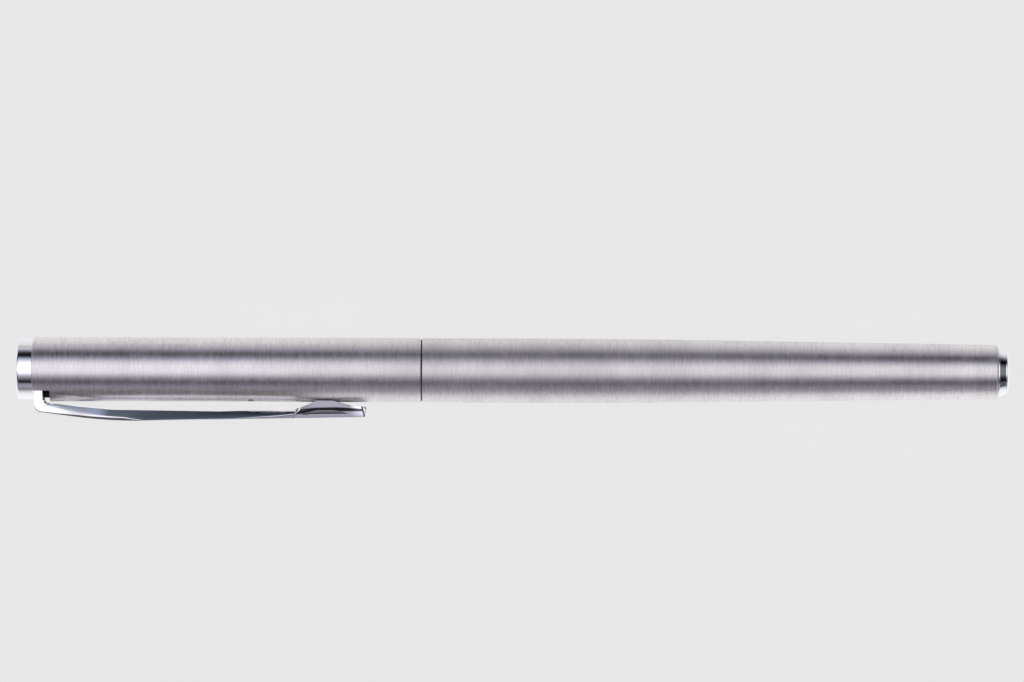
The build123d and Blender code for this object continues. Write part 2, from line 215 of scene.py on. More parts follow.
def filled_in(points, normals, gap):
    """The same outline with long straight runs divided so that no step is over the gap."""
    steps = np.maximum(1, np.ceil(np.linalg.norm(np.diff(points, axis=0), axis=1) / gap).astype(int))
    start = np.repeat(np.arange(len(steps)), steps)
    share_along = (np.arange(len(start)) - np.repeat(np.cumsum(steps) - steps, steps)) / steps[start]
    t = share_along[:, None]
    more_points = points[start] * (1 - t) + points[start + 1] * t
    more_normals = normals[start] * (1 - t) + normals[start + 1] * t
    more_normals /= np.linalg.norm(more_normals, axis=1)[:, None]
    return np.concatenate([more_points, points[-1:]]), np.concatenate([more_normals, normals[-1:]])


def new_object(name, vertices, faces, normals=None):
    """A smooth-shaded mesh object at the origin, with its own vertex normals if they are given."""
    mesh = bpy.data.meshes.new(name)
    mesh.from_pydata(np.asarray(vertices).tolist(), [], [list(f) for f in faces])
    mesh.validate()
    mesh.update()
    mesh.shade_smooth()
    if normals is not None:
        mesh.normals_split_custom_set_from_vertices(np.asarray(normals).tolist())
    made = bpy.data.objects.new(name, mesh)
    bpy.context.scene.collection.objects.link(made)
    return made


def turned(name, points, normals, around, closed=True):
    """A surface of revolution about the pen's axis.

    A point at angle a round the axis is (x, -r cos a, r sin a), for each point (x, r) of the
    outline. A closed outline gives a ring; an open one starts and ends on the axis, where the
    first and last rows shrink to a point with a fan of triangles.
    """
    angle = np.arange(around) * (2 * math.pi / around)
    cos, sin = np.cos(angle)[None], np.sin(angle)[None]

    def spun(pairs):
        """Outline pairs (along, outwards) carried round the axis."""
        along_axis, outwards = pairs[:, 0][:, None], pairs[:, 1][:, None]
        whole = np.stack(np.broadcast_arrays(along_axis, -outwards * cos, outwards * sin), axis=-1)
        return whole.reshape(-1, 3)

    rows = len(points)
    grid, grid_normals = spun(points), spun(normals)
    i = np.arange(rows if closed else rows - 1)[:, None]
    j = np.arange(around)[None]
    here, over = i * around, ((i + 1) % rows) * around
    beside = (j + 1) % around
    quads = np.stack(np.broadcast_arrays(here + j, over + j, over + beside, here + beside), axis=-1)
    faces = quads.reshape(-1, 4)
    sample = faces[0] if closed else faces[len(faces) // 2]
    a, b, c = grid[sample[:3]]
    if np.cross(b - a, c - a) @ grid_normals[sample[0]] < 0:
        faces = faces[:, ::-1]
    if closed:
        return new_object(name, grid, faces, grid_normals)
    faces = faces[around:-around]
    poles = np.array([[points[0, 0], 0, 0], [points[-1, 0], 0, 0]])
    outward = math.copysign(1.0, points[-1, 0] - points[0, 0])
    vertices = np.concatenate([grid, poles])
    all_normals = np.concatenate([grid_normals, [[-outward, 0, 0], [outward, 0, 0]]])
    fans = []
    for pole, row, sign in ((len(grid), 1, -outward), (len(grid) + 1, rows - 2, outward)):
        ring = np.arange(around) + row * around
        fan = np.column_stack([np.full(around, pole), ring, np.roll(ring, -1)])
        a, b, c = vertices[fan[0]]
        fans.append(fan if np.cross(b - a, c - a)[0] * sign > 0 else fan[:, ::-1])
    keep = np.concatenate([np.arange(around, around * (rows - 1)), [len(grid), len(grid) + 1]])
    renumber = np.full(len(vertices), -1)
    renumber[keep] = np.arange(len(keep))
    all_faces = [tuple(renumber[face]) for part in (faces, *fans) for face in part]
    return new_object(name, vertices[keep], all_faces, all_normals[keep])


def turned_piece(name, corners, radii, node, closed=True, steps=7, gap=None):
    """A turned piece that stands for a node and rides on its body; corners are in metres."""
    points, normals = rounded(corners, radii, closed, steps)
    if gap:
        points, normals = filled_in(points, normals, gap)
    area = np.sum(points[:, 0] * np.roll(points[:, 1], -1) - np.roll(points[:, 0], -1) * points[:, 1])
    if area < 0:
        normals = -normals
    piece = turned(name, points, normals, bpy.context.scene.pen_sizes.around, closed)
    return stand_for(piece, node)


def stand_for(piece, node):
    """The piece replaces a node, rides on its body and takes its material slot."""
    record = frame["record"]
    body = next(b for b, nodes in record["behaviour"]["bodies"].items() if node in nodes)
    slot = next(s["material_slot"] for s in record["subparts"] if s["node"] == node)
    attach(piece, body)
    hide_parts(node)
    paint(piece, slot)
    return piece


def read(items, attribute, width, kind=float):
    """One attribute of all items of a mesh, as an array with one row per item."""
    values = np.empty(len(items) * width, kind)
    items.foreach_get(attribute, values)
    return values.reshape(-1, width) if width > 1 else values


def with_modifiers(piece):
    """Puts the piece's modifiers into its mesh for good."""
    view = bpy.context.evaluated_depsgraph_get()
    mesh = bpy.data.meshes.new_from_object(piece.evaluated_get(view))
    piece.modifiers.clear()
    piece.data = mesh


def cut_away(piece, cutters):
    """Cuts closed shapes out of a piece, and keeps the piece's own smooth normals where they fit.

    After the cut each face corner looks up the nearest point of the uncut surface; if that
    point's normal agrees with the face it is used, and otherwise the face stays flat.
    """
    before = piece.data
    places = read(before.vertices, "co", 3)
    smooth = np.zeros_like(places)
    smooth[read(before.loops, "vertex_index", 1, int)] = read(before.corner_normals, "vector", 3)
    for cutter in cutters:
        cut = piece.modifiers.new("cut", "BOOLEAN")
        cut.operation = "DIFFERENCE"
        cut.solver = "EXACT"
        cut.object = cutter
    with_modifiers(piece)
    for cutter in cutters:
        bpy.data.objects.remove(cutter)
    mesh = piece.data
    tree = search_tree(places)
    nearest = np.array([tree.find(vertex.co)[1] for vertex in mesh.vertices])
    corner_vertex = read(mesh.loops, "vertex_index", 1, int)
    flat = np.repeat(read(mesh.polygons, "normal", 3), read(mesh.polygons, "loop_total", 1, int), axis=0)
    wanted = follow_round(smooth[nearest][corner_vertex], read(mesh.vertices, "co", 3)[corner_vertex])
    agree = np.sum(wanted * flat, axis=1) > 0.8
    mesh.shade_smooth()
    mesh.normals_split_custom_set(np.where(agree[:, None], wanted, flat).tolist())


def follow_round(normals, places):
    """Normals of a turned surface, turned about the axis so that they point along each place."""
    radial = np.column_stack([places[:, 1], places[:, 2]])
    radial /= np.maximum(np.linalg.norm(radial, axis=1), 1e-9)[:, None]
    size = np.linalg.norm(normals[:, 1:], axis=1) * np.sign(np.sum(normals[:, 1:] * radial, axis=1))
    return np.column_stack([normals[:, 0], radial * size[:, None]])


def search_tree(places):
    """A search tree over places."""
    tree = KDTree(len(places))
    for index, place in enumerate(places):
        tree.insert(place, index)
    tree.balance()
    return tree


def block(low, high):
    """A closed box between two corners, for cutting."""
    x, y, z = np.meshgrid(*zip(low, high), indexing="ij")
    corners = np.column_stack([x.ravel(), y.ravel(), z.ravel()])
    faces = [(0, 1, 3, 2), (4, 6, 7, 5), (0, 4, 5, 1), (2, 3, 7, 6), (0, 2, 6, 4), (1, 5, 7, 3)]
    return new_object("cutter", corners, faces)


def peg(base, direction, radius, reach, sides=48):
    """A closed round bar from a point along a direction, for cutting."""
    direction = np.array(direction, float) / np.linalg.norm(direction)
    across = np.cross(direction, (1.0, 0.0, 0.0))
    across /= np.linalg.norm(across)
    up = np.cross(direction, across)
    angle = np.arange(sides) * (2 * math.pi / sides)
    ring = radius * (np.cos(angle)[:, None] * across + np.sin(angle)[:, None] * up)
    vertices = np.concatenate([base + ring, base + ring + direction * reach])
    i = np.arange(sides)
    j = (i + 1) % sides
    quads = [tuple(q) for q in np.column_stack([i, j, j + sides, i + sides])]
    ends = [tuple(i[::-1]), tuple(i + sides)]
    return new_object("cutter", vertices, quads + ends)


# Finishes


def group(name, inputs, outputs):
    """An empty node group with named inputs (name, kind, default) and outputs (name, kind)."""
    tree = bpy.data.node_groups.new(name, "ShaderNodeTree")
    for label, kind, default in inputs:
        socket = tree.interface.new_socket(label, in_out="INPUT", socket_type="NodeSocket" + kind)
        if default is not None:
            socket.default_value = default
    for label, kind in outputs:
        tree.interface.new_socket(label, in_out="OUTPUT", socket_type="NodeSocket" + kind)
    return tree, tree.nodes.new("NodeGroupInput"), tree.nodes.new("NodeGroupOutput")


def node(tree, kind, **settings):
    """A node of a kind, with its properties or unlinked inputs set by name."""
    made = tree.nodes.new("ShaderNode" + kind)
    for key, value in settings.items():
        if hasattr(made, key):
            setattr(made, key, value)
        else:
            made.inputs[key.replace("_", " ")].default_value = value
    return made


def scaled(tree, vector, scale):
    """The vector with each axis multiplied."""
    mapping = node(tree, "Mapping")
    mapping.inputs["Scale"].default_value = scale
    tree.links.new(vector, mapping.inputs["Vector"])
    return mapping.outputs["Vector"]


def noise(tree, vector, scale, detail=2.0, roughness=0.5):
    """Values of a noise texture, about 0.5."""
    made = node(tree, "TexNoise", Scale=scale, Detail=detail, Roughness=roughness)
    tree.links.new(vector, made.inputs["Vector"])
    return made.outputs["Fac"]


def ranged(tree, value, low, high, to_low, to_high):
    """The value's range mapped to another one, and held inside it."""
    made = node(tree, "MapRange")
    for socket, number in zip(list(made.inputs)[1:5], (low, high, to_low, to_high)):
        socket.default_value = number
    tree.links.new(value, made.inputs[0])
    return made.outputs[0]


def maths(tree, kind, first, second):
    """Two values put together."""
    made = node(tree, "Math", operation=kind)
    for socket, item in zip(made.inputs, (first, second)):
        if isinstance(item, (int, float)):
            socket.default_value = item
        else:
            tree.links.new(item, socket)
    return made.outputs[0]


def brushing_group():
    """Fine lines that run round the pen: noise drawn out about the axis.

    Short hair lines and longer threads are added to make the lines; broad bands come out on
    their own. Each changes fast along the pen and slowly across it, so they run round a tube.
    """
    tree, start, end = group(
        "brushing", [("Vector", "Vector", None), ("Line density", "Float", 1.0)],
        [("Lines", "Float"), ("Bands", "Float")],
    )
    vector = node(tree, "VectorMath", operation="SCALE")
    tree.links.new(start.outputs["Vector"], vector.inputs[0])
    tree.links.new(start.outputs["Line density"], vector.inputs["Scale"])
    hair = noise(tree, scaled(tree, vector.outputs[0], (4200, 1150, 1150)), 1.0, 1.0, 0.5)
    thread = noise(tree, scaled(tree, vector.outputs[0], (3300, 420, 420)), 1.0, 1.0, 0.4)
    band = noise(tree, scaled(tree, vector.outputs[0], (300, 90, 90)), 1.0, 2.0)
    hair, thread = maths(tree, "MULTIPLY", hair, 0.55), maths(tree, "MULTIPLY", thread, 0.45)
    lines = maths(tree, "ADD", hair, thread)
    tree.links.new(lines, end.inputs["Lines"])
    tree.links.new(band, end.inputs["Bands"])
    return tree


def handling_group():
    """Marks of use: soft smudges from broad noise, and short fine scratches.

    A scratch is where one of two slanted, drawn-out noises passes a high threshold.
    """
    tree, start, end = group(
        "handling", [("Vector", "Vector", None), ("Size", "Float", 1.0)],
        [("Smudges", "Float"), ("Scratches", "Float"), ("Dust", "Float")],
    )
    vector = node(tree, "VectorMath", operation="SCALE")
    tree.links.new(start.outputs["Vector"], vector.inputs[0])
    tree.links.new(start.outputs["Size"], vector.inputs["Scale"])
    smudge = noise(tree, vector.outputs[0], 190.0, 4.0, 0.55)
    tree.links.new(ranged(tree, smudge, 0.42, 0.68, 0.0, 1.0), end.inputs["Smudges"])
    marks = None
    for turn in (0.5, -1.1):
        lean = node(tree, "Mapping")
        lean.inputs["Rotation"].default_value = (0.3 * turn, 0.2, turn)
        lean.inputs["Scale"].default_value = (90, 3800, 3800)
        tree.links.new(vector.outputs[0], lean.inputs["Vector"])
        line = ranged(tree, noise(tree, lean.outputs["Vector"], 1.0, 1.0), 0.735, 0.76, 0.0, 1.0)
        marks = line if marks is None else maths(tree, "MAXIMUM", marks, line)
    tree.links.new(marks, end.inputs["Scratches"])
    dust = ranged(tree, noise(tree, vector.outputs[0], 5200.0, 1.0), 0.76, 0.80, 0.0, 1.0)
    tree.links.new(dust, end.inputs["Dust"])
    return tree


def grain_group():
    """Moulded plastic: a fine even grain and a slow change of tone."""
    tree, start, end = group(
        "moulded grain", [("Vector", "Vector", None), ("Fineness", "Float", 1.0)],
        [("Grain", "Float"), ("Tone", "Float")],
    )
    vector = node(tree, "VectorMath", operation="SCALE")
    tree.links.new(start.outputs["Vector"], vector.inputs[0])
    tree.links.new(start.outputs["Fineness"], vector.inputs["Scale"])
    tree.links.new(noise(tree, vector.outputs[0], 9000.0, 3.0, 0.6), end.inputs["Grain"])
    tree.links.new(noise(tree, vector.outputs[0], 300.0, 3.0), end.inputs["Tone"])
    return tree


def use(tree, made_group, vector, **values):
    """A group placed in a material and fed with a vector."""
    placed = tree.nodes.new("ShaderNodeGroup")
    placed.node_tree = made_group
    tree.links.new(vector, placed.inputs["Vector"])
    for key, value in values.items():
        placed.inputs[key.replace("_", " ")].default_value = value
    return placed


def shader(name, base, **constants):
    """A material with a Principled shader: the material, its tree, shader and object coordinates."""
    material = bpy.data.materials.new(name)
    material.use_nodes = True
    tree = material.node_tree
    tree.nodes.clear()
    output = tree.nodes.new("ShaderNodeOutputMaterial")
    principled = tree.nodes.new("ShaderNodeBsdfPrincipled")
    tree.links.new(principled.outputs[0], output.inputs["Surface"])
    principled.inputs["Base Color"].default_value = (*base, 1)
    for key, value in constants.items():
        principled.inputs[key.replace("_", " ")].default_value = value
    vector = tree.nodes.new("ShaderNodeTexCoord").outputs["Object"]
    return material, tree, principled, vector


def colour_mix(tree, share_of_second):
    """A colour mix driven by a value: its two colour inputs and its colour output."""
    mix = node(tree, "Mix", data_type="RGBA")
    tree.links.new(share_of_second, mix.inputs["Factor"])
    first, second = [socket for socket in mix.inputs if socket.type == "RGBA"]
    result = [socket for socket in mix.outputs if socket.type == "RGBA"][0]
    return first, second, result


def tone(tree, principled, base, value, low, high):
    """The base colour made darker and lighter as a value goes from 0 to 1."""
    first, second, result = colour_mix(tree, value)
    for socket, change in ((first, low), (second, high)):
        socket.default_value = (*[min(1, channel * change) for channel in base], 1)
    tree.links.new(result, principled.inputs["Base Color"])
    return result


def bump(tree, principled, height, depth, strength=1.0):
    """A bump of a real depth, in metres."""
    made = node(tree, "Bump", Strength=strength, Distance=depth)
    tree.links.new(height, made.inputs["Height"])
    tree.links.new(made.outputs["Normal"], principled.inputs["Normal"])


def lengthwise(tree, vector, stops):
    """A value that changes along the pen between (place, value) stops, in metres along x."""
    split = tree.nodes.new("ShaderNodeSeparateXYZ")
    tree.links.new(vector, split.inputs[0])
    total = None
    for (x0, v0), (x1, v1) in zip(stops, stops[1:]):
        step = ranged(tree, split.outputs["X"], x0, x1, 0.0, v1 - v0)
        total = maths(tree, "ADD", step, v0 if total is None else total)
    return total


# Roughness of the brushed tubes at places along the pen.
TUBE_ROUGHNESS = [
    (-54 * MM, 0.39), (-20 * MM, 0.44), (4 * MM, 0.53), (34 * MM, 0.52), (80 * MM, 0.44),
]


def brushed_tube_finish(colours, groups):
    """Stainless tube, brushed round: sharp across the pen and blurred along it."""
    base = tuple(colours.steel)
    material, tree, principled, vector = shader(
        "brushed_tube", base, Metallic=1.0, Anisotropic=0.73, Anisotropic_Rotation=0.25
    )
    tangent = node(tree, "Tangent", direction_type="RADIAL", axis="X")
    tree.links.new(tangent.outputs[0], principled.inputs["Tangent"])
    brush = use(tree, groups["brushing"], vector)
    marks = use(tree, groups["handling"], vector)
    shade = maths(tree, "MULTIPLY", ranged(tree, brush.outputs["Lines"], 0.32, 0.68, 0, 1), 0.72)
    shade = maths(tree, "ADD", shade, ranged(tree, brush.outputs["Bands"], 0.3, 0.7, 0, 0.28))
    tone(tree, principled, base, shade, 0.80, 1.16)
    rough = lengthwise(tree, vector, TUBE_ROUGHNESS)
    rough = maths(tree, "ADD", rough, ranged(tree, brush.outputs["Lines"], 0.3, 0.7, -0.06, 0.06))
    rough = maths(tree, "ADD", rough, maths(tree, "MULTIPLY", marks.outputs["Smudges"], 0.03))
    rough = maths(tree, "ADD", rough, maths(tree, "MULTIPLY", marks.outputs["Scratches"], 0.10))
    tree.links.new(rough, principled.inputs["Roughness"])
    height = maths(tree, "SUBTRACT", brush.outputs["Lines"], marks.outputs["Scratches"])
    bump(tree, principled, height, 0.0012 * MM)
    return material


def polished_finish(colours, groups):
    """Bright chrome with faint smudges and hair scratches."""
    base = tuple(colours.chrome)
    material, tree, principled, vector = shader("polished_trim", base, Metallic=1.0)
    marks = use(tree, groups["handling"], vector, Size=1.6)
    tone(tree, principled, base, marks.outputs["Smudges"], 1.0, 0.955)
    rough = maths(tree, "ADD", maths(tree, "MULTIPLY", marks.outputs["Smudges"], 0.05), 0.045)
    rough = maths(tree, "ADD", rough, maths(tree, "MULTIPLY", marks.outputs["Scratches"], 0.16))
    tree.links.new(rough, principled.inputs["Roughness"])
    bump(tree, principled, marks.outputs["Scratches"], -0.0008 * MM)
    return material


def turned_metal_finish(name, base, groups, roughness, density):
    """Metal left as it came off the lathe: fine lines round the axis."""
    material, tree, principled, vector = shader(name, base, Metallic=1.0)
    brush = use(tree, groups["brushing"], vector, Line_density=density)
    marks = use(tree, groups["handling"], vector, Size=2.0)
    tone(tree, principled, base, marks.outputs["Smudges"], 1.0, 0.82)
    rough = ranged(tree, brush.outputs["Lines"], 0.3, 0.7, roughness - 0.06, roughness + 0.08)
    tree.links.new(rough, principled.inputs["Roughness"])
    bump(tree, principled, brush.outputs["Lines"], 0.002 * MM)
    return material


DUST = (0.45, 0.44, 0.42, 1)


def plastic_finish(name, base, groups, roughness, grain_depth, **constants):
    """Moulded plastic with a fine grain, uneven gloss and a little dust."""
    material, tree, principled, vector = shader(name, base, **constants)
    grain = use(tree, groups["grain"], vector)
    marks = use(tree, groups["handling"], vector, Size=1.3)
    uneven = ranged(tree, grain.outputs["Tone"], 0.3, 0.7, 0, 1)
    colour_out = tone(tree, principled, base, uneven, 0.88, 1.14)
    first, second, result = colour_mix(tree, maths(tree, "MULTIPLY", marks.outputs["Dust"], 0.35))
    tree.links.new(colour_out, first)
    second.default_value = DUST
    tree.links.new(result, principled.inputs["Base Color"])
    rough = ranged(tree, grain.outputs["Tone"], 0.3, 0.7, roughness - 0.05, roughness + 0.06)
    rough = maths(tree, "SUBTRACT", rough, maths(tree, "MULTIPLY", marks.outputs["Smudges"], 0.05))
    tree.links.new(rough, principled.inputs["Roughness"])
    bump(tree, principled, grain.outputs["Grain"], grain_depth)
    return material


def paint(piece, slot):
    """Gives a piece the finish of a material slot and nothing else."""
    piece.data.materials.clear()
    piece.data.materials.append(bpy.data.materials[slot])


def frame_slot(name):
    """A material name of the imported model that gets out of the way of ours."""
    old = bpy.data.materials.get(name)
    if old:
        old.name = name + "_packed"


class PEN_OT_finishes(bpy.types.Operator):
    """Makes every finish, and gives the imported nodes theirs"""

    bl_idname = "pen.finishes"
    bl_label = "Finishes"

    def execute(self, context):
        for entry in frame["record"]["materials"]:
            frame_slot(entry["slot"])
        groups = {"brushing": brushing_group(), "handling": handling_group(), "grain": grain_group()}
        colours = context.scene.pen_colours
        brushed_tube_finish(colours, groups)
        polished_finish(colours, groups)
        for name, base, roughness, density in (
            ("hard_steel", colours.hard_steel, 0.26, 1.6),
            ("spring_steel", colours.hard_steel, 0.32, 0.8),
            ("turned_brass", colours.brass, 0.30, 0.7),
            # Painted shade of the clip's slot, laid on the anchor bush's brass.
            ("brass_painted_slot_shade", colours.slot_shade_colour, 0.50, 0.7),
        ):
            turned_metal_finish(name, tuple(base), groups, roughness, density)
        for name, base, roughness, grain_depth in (
            ("black_plastic", colours.black, 0.36, 0.004 * MM),
            ("grey_plastic", colours.grey, 0.42, 0.004 * MM),
            ("code_plastic", colours.code, 0.24, 0.001 * MM),
            ("black_rubber", colours.rubber, 0.62, 0.006 * MM),
        ):
            plastic_finish(name, tuple(base), groups, roughness, grain_depth)
        plastic_finish(
            "clear_plastic", tuple(colours.cartridge), groups, 0.22, 0.001 * MM,
            Transmission_Weight=0.85, IOR=1.49,
        )
        for entry in frame["record"]["subparts"]:
            paint(frame["nodes"][entry["node"]], entry["material_slot"])
        # The anchor bush gets the near-black painted shade of the slot instead of its brass.
        paint(frame["nodes"]["clip_anchor_bush"], "brass_painted_slot_shade")
        return {"FINISHED"}


# Outside pieces


class PEN_OT_cap_tube(bpy.types.Operator):
    """Makes the cap's tube, with the clip's slot and the vent"""

    bl_idname = "pen.cap_tube"
    bl_label = "Cap tube"

    def execute(self, context):
        sizes = context.scene.pen_sizes
        inner = TUBE_RADIUS - sizes.tube_wall
        corners = [(CAP_FRONT, inner), (CAP_REAR, inner), (CAP_REAR, TUBE_RADIUS), (CAP_FRONT, TUBE_RADIUS)]
        radii = [SMALL_ROUND, SMALL_ROUND, sizes.rim_round, sizes.rim_round]
        tube = turned_piece("cap_shell", corners, radii, "cap_tube", gap=1.5 * MM)
        slot = block(
            (CAP_FRONT - MM, -TUBE_RADIUS - MM, -sizes.slot_half),
            (CAP_FRONT + sizes.slot_length, 0, sizes.slot_half),
        )
        turn = sizes.vent_turn
        middle = np.array([CAP_FRONT + sizes.vent_place, 0.0, 0.0])
        vent = peg(middle, (0.0, -math.cos(turn), math.sin(turn)), sizes.vent_radius, TUBE_RADIUS + MM)
        cut_away(tube, [slot, vent])
        return {"FINISHED"}


class PEN_OT_barrel(bpy.types.Operator):
    """Makes the barrel's tube: parallel, then a soft bend, then a long taper"""

    bl_idname = "pen.barrel"
    bl_label = "Barrel"

    def execute(self, context):
        sizes = context.scene.pen_sizes
        wall, tail = sizes.tube_wall, sizes.tail_radius
        bend = sizes.barrel_parallel + sizes.barrel_bend / 2
        lean = math.atan((TUBE_RADIUS - tail) / (BARREL_REAR - bend))
        soft = sizes.barrel_bend / 2 / math.tan(lean / 2)
        corners = [
            (0, TUBE_RADIUS - wall), (bend, TUBE_RADIUS - wall), (BARREL_REAR, tail - wall),
            (BARREL_REAR, tail), (bend, TUBE_RADIUS), (0, TUBE_RADIUS),
        ]
        radii = [SMALL_ROUND, soft, SMALL_ROUND, sizes.tail_round, soft, sizes.rim_round]
        turned_piece("barrel_shell", corners, radii, "barrel_tube", steps=16, gap=2.5 * MM)
        return {"FINISHED"}


class PEN_OT_ends(bpy.types.Operator):
    """Makes the polished finial and the end plug"""

    bl_idname = "pen.ends"
    bl_label = "Finial and end plug"

    def execute(self, context):
        self.finial()
        self.end_plug(context.scene.pen_sizes)
        return {"FINISHED"}

    def finial(self):
        """A button with a round front edge and a seat inside the cap's tube."""
        front, rear, radius = span("cap_finial")
        stem, seat_radius = 1.5 * MM, radius - 0.25 * MM
        corners = [
            (rear, 0), (rear, stem), (CAP_FRONT + 0.2 * MM, stem), (CAP_FRONT + 0.2 * MM, seat_radius),
            (CAP_FRONT + 0.01 * MM, seat_radius), (CAP_FRONT - 0.02 * MM, radius),
            (front, radius), (front, 0),
        ]
        radii = [0, 0.2 * MM, SMALL_ROUND, SMALL_ROUND, TIGHT_ROUND, 0.04 * MM, 0.36 * MM, 0]
        turned_piece("finial_button", corners, radii, "cap_finial", closed=False)

    def end_plug(self, sizes):
        """A narrow land, a flank that narrows a little, a bright rim and a low dome."""
        front, rear, radius = span("barrel_end_plug")
        shank = sizes.tail_radius - sizes.tube_wall - 0.57 * MM
        seat, land, cone_end = BARREL_REAR + 0.03 * MM, BARREL_REAR + 0.20 * MM, BARREL_REAR + 1.13 * MM
        flank_start, flank_end = radius - 0.06 * MM, radius - 0.43 * MM
        rim, dome = radius - 0.36 * MM, radius - 0.95 * MM
        corners = [
            (front, 0), (front, shank), (seat, shank), (seat, radius), (land, radius),
            (land + 0.02 * MM, flank_start), (cone_end, flank_end), (cone_end + 0.02 * MM, rim),
            (cone_end + 0.16 * MM, rim), (rear - 0.20 * MM, dome), (rear, 0.5 * MM), (rear, 0),
        ]
        radii = [0, 0.2 * MM, SMALL_ROUND, SMALL_ROUND, *[TIGHT_ROUND] * 4, 0.25 * MM, 0.9 * MM, 8 * MM, 0]
        turned_piece("tail_button", corners, radii, "barrel_end_plug", closed=False, steps=9)


def smooth_step(value, low, high):
    """0 below low, 1 above high, and a smooth rise between."""
    t = np.clip((value - low) / (high - low), 0, 1)
    return t * t * (3 - 2 * t)


# The clip's side, from its outer edge to its lips. Each line gives a place in mm behind the cap's
# front end, six depths in mm below the outer edge, and the side's lean in degrees at the outer
# edge, at the six depths and at the lips. A positive lean turns the side towards the pen.
CLIP_FORM = [
    (0.3, (0.12, 0.40, 0.70, 0.80, 0.90, 1.00), (-36, -8, 0, 3, 4, 5, 6, 8)),
    (1.7, (0.13, 0.50, 0.85, 1.00, 1.10, 1.20), (-36, -8, 2, 9, 13, 16, 18, 23)),
    (3.6, (0.13, 0.35, 0.60, 0.80, 0.90, 1.00), (-38, -8, 2, 9, 17, 20, 22, 25)),
    (6.1, (0.24, 0.36, 0.48, 0.70, 0.80, 0.90), (-38, -10, 4, 14, 20, 21, 22, 24)),
    (8.0, (0.28, 0.40, 0.54, 0.64, 0.78, 0.90), (-38, -10, 4, 17, 22, 22.6, 23, 23.4)),
    (10.1, (0.34, 0.44, 0.54, 0.60, 0.75, 0.90), (-34, -14, 0, 18, 22.6, 23, 23, 23.4)),
    (12.5, (0.38, 0.46, 0.50, 0.54, 0.75, 0.90), (-30, -15, 2, 22.6, 23.0, 23.0, 23.1, 23.6)),
    (15.5, (0.02, 0.03, 0.04, 0.05, 0.06, 0.50), (-30, -15, 2, 22.8, 23.0, 23.0, 23.8, 23.4)),
    (28.0, (0.01, 0.02, 0.03, 0.04, 0.06, 0.45), (-30, -14, -14, -25, -25, 22.8, 24.0, 25)),
    (34.4, (0.03, 0.28, 0.32, 0.34, 0.42, 0.72), (-30, -14, -14, -25, -25, 22.8, 26, 26)),
    (36.3, (0.03, 0.46, 0.50, 0.54, 0.60, 0.95), (-30, -14, -14, -25, -25, 23.0, 26, 26)),
    (37.0, (0.03, 0.56, 0.62, 1.14, 1.20, 1.24), (-30, -14, -14, -25, -25, -20, -16, -14)),
    (39.0, (0.03, 0.76, 0.84, 1.34, 1.42, 1.60), (-30, -14, -14, -25, -25, -14, -13, -13)),
    (42.2, (0.03, 0.80, 0.87, 1.36, 1.44, 1.60), (-30, -14, -14, -25, -25, -14, -13, -13)),
    (44.0, (0.03, 0.80, 0.88, 1.24, 1.30, 1.32), (-30, -14, -14, -25, -25, -16, -14, -14)),
    (45.5, (0.03, 0.72, 0.84, 1.10, 1.16, 1.20), (-30, -12, -8, -18, -20, -10, -5, 0)),
]


def along(points, run, wanted):
    """Points of an outline at wanted lengths along it."""
    return np.column_stack([np.interp(wanted, run, points[:, k]) for k in (0, 1)])


def lengths(points):
    """Length along an outline up to each of its points."""
    return np.concatenate([[0], np.cumsum(np.linalg.norm(np.diff(points, axis=0), axis=1))])


def clip_rows(count):
    """Two edges of the clip's side: the outer one and the lips, row by row.

    The outer edge goes down the leg, round the root corner, along two straight runs that a wide
    circle joins, and round the tip. The lips follow it at the depth of the channel, with the low
    bump near the tip. Rows are evenly spaced along the outer edge and meet the lips at matching
    lengths of the leg, the arm and the tip.
    """
    low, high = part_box("clip")
    leg, tip = low.x, high.x
    outer_corners = [
        (leg, -2.98 * MM), (leg, -5.86 * MM), (CAP_FRONT + 10.85 * MM, -7.207 * MM),
        (tip, -6.50 * MM), (tip, -5.90 * MM),
    ]
    outer = rounded(outer_corners, [0, 1.1 * MM, 60 * MM, 0.45 * MM, 0], False, 40)[0]
    arm = [(11.0, -5.62), (26.0, -5.80), (36.7, -5.42), (39.5, -4.26), (41.7, -4.26), (44.6, -5.04)]
    lip_corners = [
        (leg + 1.12 * MM, -2.98 * MM), (leg + 1.16 * MM, -4.72 * MM),
        *[(CAP_FRONT + x * MM, y * MM) for x, y in arm], (tip - 0.06 * MM, -5.06 * MM),
    ]
    lip_radii = [radius * MM for radius in (0, 0.6, 12, 12, 1.6, 1.2, 1.2, 2.5, 0)]
    lips = rounded(lip_corners, lip_radii, False, 16)[0]
    outer_run, lip_run = lengths(outer), lengths(lips)
    at = np.linspace(0, outer_run[-1], count)
    lip_at = np.interp(
        at, [0, 4.2 * MM, outer_run[-1] - 1.4 * MM, outer_run[-1]],
        [0, 2.6 * MM, lip_run[-1] - 0.95 * MM, lip_run[-1]],
    )
    return along(outer, outer_run, at), along(lips, lip_run, lip_at), tip


